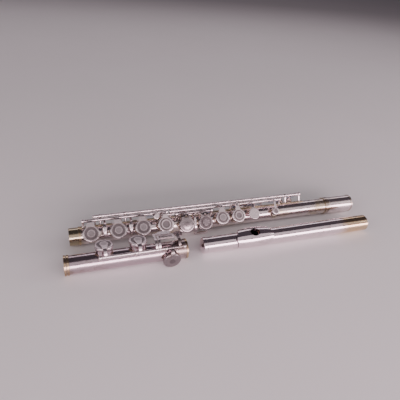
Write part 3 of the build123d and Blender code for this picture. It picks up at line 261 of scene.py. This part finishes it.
def darker(colour, share):
    return tuple(share * c for c in colour)


def plated(name, silver, stain_and_shade_colour, amount, gloss, zones=(), cups=()):
    """Worn plate: stains in drifts, dirt and painted shade in crevices, hairline scratches, and zones rubbed
    through to another colour.
    """
    g = Graph(name)
    g.shader.inputs["Metallic"].default_value = 1.0
    drift = g.noise(55, detail=6, stretch=(0.45, 1, 1), roughness=0.62, distortion=0.4)
    speck = g.noise(420, detail=5, roughness=0.7)
    cloud = g.math("ADD", g.math("MULTIPLY", drift, 0.75), g.math("MULTIPLY", speck, 0.25))
    stained = g.remap(cloud, 0.60 - amount * 0.25, 0.82 - amount * 0.25)
    # Ambient occlusion darkens the plate where surfaces stand close: partly dirt gathered in crevices,
    # partly painted shade.
    crevice_dirt_and_shade = g.remap(g.crevice(DIRT_AND_SHADE_REACH), 0.62, 0.97, 1.0, 0.0)
    stains_dirt_and_shade = g.math("MAXIMUM", stained, crevice_dirt_and_shade)
    colour = g.mix(g.remap(speck, 0.3, 0.75, 0.0, 0.35), silver, darker(silver, 0.86))
    colour = g.mix(stains_dirt_and_shade, colour, stain_and_shade_colour)
    dull_and_painted_shade = 0.0
    if cups:
        # The cups' sunk floors and hubs get painted shade in the colour, and a duller gloss in the
        # roughness.
        floors, hubs = g.cup_masks(cups)
        dull_and_painted_shade = g.math("MAXIMUM", g.math("MULTIPLY", floors, 0.9), g.math("MULTIPLY", hubs, 0.55))
        colour = g.mix(dull_and_painted_shade, colour, darker(silver, 0.28))
    for axis, start, end, other in zones:
        wander = g.math("MULTIPLY", g.math("SUBTRACT", drift, 0.5), abs(end - start) * 2.2)
        reach = g.math("ADD", g.along(axis), wander)
        sign = 0.0 if end > start else 1.0
        low, high = min(start, end), max(start, end)
        zone = g.remap(reach, low, high, sign, 1.0 - sign)
        colour = g.mix(g.math("MULTIPLY", zone, g.remap(speck, 0.2, 0.6, 0.7, 1.0)), colour, other)
    g.link(colour, g.shader.inputs["Base Color"])
    hairs = g.noise(1500, detail=3, stretch=(0.12, 1, 1), roughness=0.6)
    brushed = g.remap(hairs, 0.35, 0.75, gloss * 0.7, gloss * 1.35)
    rough = g.math("ADD", brushed, g.math("MULTIPLY", stains_dirt_and_shade, 0.16))
    g.link(g.math("ADD", rough, g.math("MULTIPLY", dull_and_painted_shade, 0.15)), g.shader.inputs["Roughness"])
    g.bump(g.math("ADD", g.math("MULTIPLY", hairs, 0.4), speck), 0.12, SCRATCH_DEPTH)
    return g.material


def ground_steel(name, colour, rough):
    g = Graph(name)
    g.shader.inputs["Metallic"].default_value = 1.0
    turning = g.noise(2600, detail=2, stretch=(0.05, 1, 1))
    film = g.noise(160, detail=5)
    g.link(g.mix(g.remap(film, 0.4, 0.7), colour, darker(colour, 0.6)), g.shader.inputs["Base Color"])
    g.link(g.remap(turning, 0.3, 0.7, rough * 0.7, rough * 1.4), g.shader.inputs["Roughness"])
    g.bump(turning, 0.15, SCRATCH_DEPTH)
    return g.material


def pad_skin(name):
    """Thin, slightly wrinkled skin over felt, yellowed in patches."""
    g = Graph(name)
    fibre = g.noise(900, detail=6, roughness=0.7)
    age = g.noise(130, detail=4)
    colour = g.mix(g.remap(age, 0.35, 0.7), (0.80, 0.66, 0.42), (0.62, 0.46, 0.26))
    colour = g.mix(g.remap(fibre, 0.5, 0.8, 0.0, 0.35), colour, (0.9, 0.82, 0.64))
    g.link(colour, g.shader.inputs["Base Color"])
    g.link(g.remap(fibre, 0.3, 0.7, 0.42, 0.68), g.shader.inputs["Roughness"])
    g.shader.inputs["Sheen Weight"].default_value = 0.2
    g.shader.inputs["Subsurface Weight"].default_value = 0.08
    g.shader.inputs["Subsurface Radius"].default_value = (0.002, 0.001, 0.0006)
    g.bump(fibre, 0.35, 0.06 * MM)
    return g.material


def cork(name):
    g = Graph(name)
    cells = g.add("ShaderNodeTexVoronoi")
    cells.inputs["Scale"].default_value = 1400
    g.link(g.place, cells.inputs["Vector"])
    grain = g.noise(500, detail=6, roughness=0.7)
    colour = g.mix(g.remap(grain, 0.35, 0.65), (0.52, 0.33, 0.17), (0.72, 0.52, 0.31))
    pits = g.remap(g.noise(700, detail=2), 0.62, 0.72)
    g.link(g.mix(pits, colour, (0.16, 0.09, 0.05)), g.shader.inputs["Base Color"])
    g.shader.inputs["Roughness"].default_value = 0.8
    g.bump(g.math("SUBTRACT", cells.outputs["Distance"], pits), 0.5, 0.15 * MM)
    return g.material


def pale_floor(name):
    g = Graph(name)
    soft = g.noise(3, detail=3)
    g.link(g.mix(soft, (0.80, 0.79, 0.78), (0.86, 0.855, 0.85)), g.shader.inputs["Base Color"])
    g.link(g.remap(g.noise(90), 0.3, 0.7, 0.55, 0.7), g.shader.inputs["Roughness"])
    return g.material


def finish_nodes():
    """Each CAD node gets the finish of its piece."""
    head_end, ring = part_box("head_tube")[1].x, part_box("foot_tenon_ring")
    tenon = [("X", *(head_end - inset for inset in TENON_WORN), BRASS_WORN)]
    foot_tenon = [("X", ring[1].x + 6 * MM, ring[0].x - 1 * MM, OLIVE)]
    plates = {
        "body_plate": plated("body_plate", SILVER, OLIVE, 0.55, 0.17, zones=foot_tenon),
        "key_plate": plated("key_plate", SILVER, (0.42, 0.36, 0.31), 0.3, 0.2),
        "head_plate": plated("head_plate", ROSE, (0.46, 0.38, 0.34), 0.32, 0.13, zones=tenon),
        "foot_plate": plated("foot_plate", FOOT_TUBE, BROWN, 0.62, 0.2),
        "foot_key_plate": plated("foot_key_plate", FOOT_SILVER, BROWN, 0.5, 0.22),
        "brass": plated("brass", BRASS, (0.30, 0.21, 0.14), 0.5, 0.22),
        "strap_plate": plated("strap_plate", (0.62, 0.55, 0.42), (0.32, 0.26, 0.16), 0.6, 0.24),
        "steel": ground_steel("steel", (0.58, 0.57, 0.58), 0.24),
        "blued_steel": ground_steel("blued_steel", (0.10, 0.13, 0.24), 0.28),
        "pad_skin": pad_skin("pad_skin"),
        "cork": cork("cork"),
    }
    members = {
        "body_plate": ("body_tube", "barrel_sleeve", "barrel_rings"),
        "key_plate": ("body_posts",),
        "head_plate": ("head_tube", "lip_plate", "riser", "crown"),
        "foot_plate": ("foot_tube", "foot_socket", "foot_rib"),
        "brass": ("foot_tenon_ring", "foot_rings", "stopper_screw", "stopper_nut"),
        "strap_plate": ("body_ribs",),
        "steel": ("body_steels", "foot_steel", "e_adjusting_screw", "f_adjusting_screw"),
        "blued_steel": ("body_springs", "foot_springs"),
        "cork": ("stopper_cork", "body_bumpers"),
    }
    chosen = {name: kind for kind, names in members.items() for name in names}
    for pad_name in (n for n in nodes if n.endswith(("_pad", "_pads"))):
        key_name = pad_name[:pad_name.rindex("_")] + "_key"
        key_name = {"c_sharp_key": "c_key", "thumb_key": "thumb_b_key"}.get(key_name, key_name)
        low = key_name.startswith("low_")
        plate, stain_and_shade_colour, gloss = (FOOT_SILVER, BROWN, 0.3) if low else (SILVER, CUP_STAIN_AND_SHADE, 0.26)
        cups = [turned_out(pad_name, points)[:3] for points in islands(nodes[pad_name])]
        # A darker copy of the plate for some cups: painted shade.
        plate = darker(plate, CUP_SHADE_TONES.get(key_name, 1.0))
        plates[key_name] = plated(key_name, plate, stain_and_shade_colour, 0.4, gloss, cups=cups)
        chosen[key_name] = key_name
    for name, obj in nodes.items():
        kind = chosen.get(name)
        if kind is None:
            kind = "foot_key_plate" if name.startswith(("low_", "foot_")) else "key_plate"
        obj.data.materials.clear()
        obj.data.materials.append(plates[kind])
    return plates


# ------------------------------------------------------------------ pads
def lathe(mesh, profile, place, segments=56, wobble=0.0, seed=0):
    """Adds a solid of revolution about Z from (radius, height) points that start and end on the axis."""
    rings = []
    for radius, height in profile:
        if radius < 1e-7:
            rings.append([mesh.verts.new(place @ Vector((0, 0, height)))])
            continue
        ring = []
        for i in range(segments):
            turn = 2 * math.pi * i / segments
            spot = Vector((radius * math.cos(turn), radius * math.sin(turn), height))
            spot.z += wobble * noise.noise(spot * 450 + Vector((seed, 0, 0)))
            ring.append(mesh.verts.new(place @ spot))
        rings.append(ring)
    for lower, upper in zip(rings, rings[1:]):
        for i in range(segments):
            j = (i + 1) % segments
            corners = [loop[k % len(loop)] for loop, k in ((lower, i), (lower, j), (upper, j), (upper, i))]
            corners = list(dict.fromkeys(corners))
            if len(corners) > 2:
                mesh.faces.new(corners)
    bmesh.ops.recalc_face_normals(mesh, faces=mesh.faces)


def as_object(name, mesh, material):
    data = bpy.data.meshes.new(name)
    mesh.to_mesh(data)
    mesh.free()
    data.materials.append(material)
    for face in data.polygons:
        face.use_smooth = True
    obj = bpy.data.objects.new(name, data)
    bpy.context.scene.collection.objects.link(obj)
    return obj


def pad_profile(radius, thick):
    """Crowned felt with a pressed seat where the hole's rim meets it."""
    seat = radius - SEAT_INSET
    face = thick / 2
    return [
        (0, face), (radius * 0.7, face), (radius - 0.25 * MM, face * 0.9), (radius, face * 0.55),
        (radius, -face * 0.5), (radius - 0.2 * MM, -face * 0.85), (radius - 0.5 * MM, -face + 0.02 * MM),
        (seat + 0.3 * MM, -face + 0.05 * MM), (seat, -face + 0.16 * MM),
        (seat - 0.35 * MM, -face + 0.16 * MM), (seat - 0.8 * MM, -face + 0.04 * MM),
        (seat * 0.5, -face + 0.02 * MM), (0, -face + 0.03 * MM)]


def add_pads(material):
    """Every pad as skinned felt, in place of its plain solid."""
    bodies = frame["record"]["behaviour"]["bodies"]
    body_of = {node: body for body, members in bodies.items() for node in members}
    for name in sorted(n for n in nodes if n.endswith(("_pad", "_pads"))):
        mesh = bmesh.new()
        for count, points in enumerate(islands(nodes[name])):
            centre, axis, radius, thick = turned_out(name, points)
            place = Matrix.Translation(centre) @ axis.to_track_quat("Z", "X").to_matrix().to_4x4()
            lathe(mesh, pad_profile(radius, thick), place, wobble=0.05 * MM, seed=count + len(name))
        piece = as_object(name + "_felt", mesh, material)
        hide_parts(name)
        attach(piece, body_of[name])


# ------------------------------------------------------------------ floor and light
def add_floor():
    mesh = bmesh.new()
    bmesh.ops.create_grid(mesh, x_segments=2, y_segments=2, size=4.0)
    floor = as_object("floor", mesh, pale_floor("floor"))
    floor.location.z = -0.2 * MM


def add_light(name, place, target, size, power, colour=(1, 1, 1)):
    data = bpy.data.lights.new(name, "AREA")
    data.shape = "RECTANGLE"
    data.size, data.size_y = size
    data.energy = power
    data.color = colour
    lamp = bpy.data.objects.new(name, data)
    lamp.location = place
    lamp.rotation_euler = (Vector(target) - Vector(place)).to_track_quat("-Z", "Y").to_euler()
    bpy.context.scene.collection.objects.link(lamp)


def add_studio():
    """Soft panels in front, and a dim room above and behind, so that the tops of the tubes stay dark."""
    world = bpy.data.worlds.new("studio")
    world.use_nodes = True
    world.node_tree.nodes["Background"].inputs["Color"].default_value = (0.62, 0.53, 0.62, 1)
    world.node_tree.nodes["Background"].inputs["Strength"].default_value = 0.11
    bpy.context.scene.world = world
    add_light("front", (0.20, -1.35, 0.33), (0.05, 0, 0), (3.0, 0.56), 46, (1.0, 0.78, 0.86))
    add_light("above", (0.10, -0.95, 1.14), (0, 0, 0), (2.8, 0.9), 5.5, (1.0, 0.88, 0.91))
    add_light("back", (0.10, 1.25, 0.86), (0, 0, 0), (2.6, 0.5), 5.0, (1.0, 0.88, 0.94))
    add_light("left", (-1.30, -0.55, 0.60), (-0.1, 0, 0), (0.8, 0.8), 6, (1.0, 0.88, 0.92))
    add_light("right", (1.40, -0.35, 0.60), (0.1, 0, 0), (0.8, 0.8), 6, (1.0, 0.88, 0.92))


add_camera()
finishes = finish_nodes()
add_pads(finishes["pad_skin"])
add_floor()
add_studio()
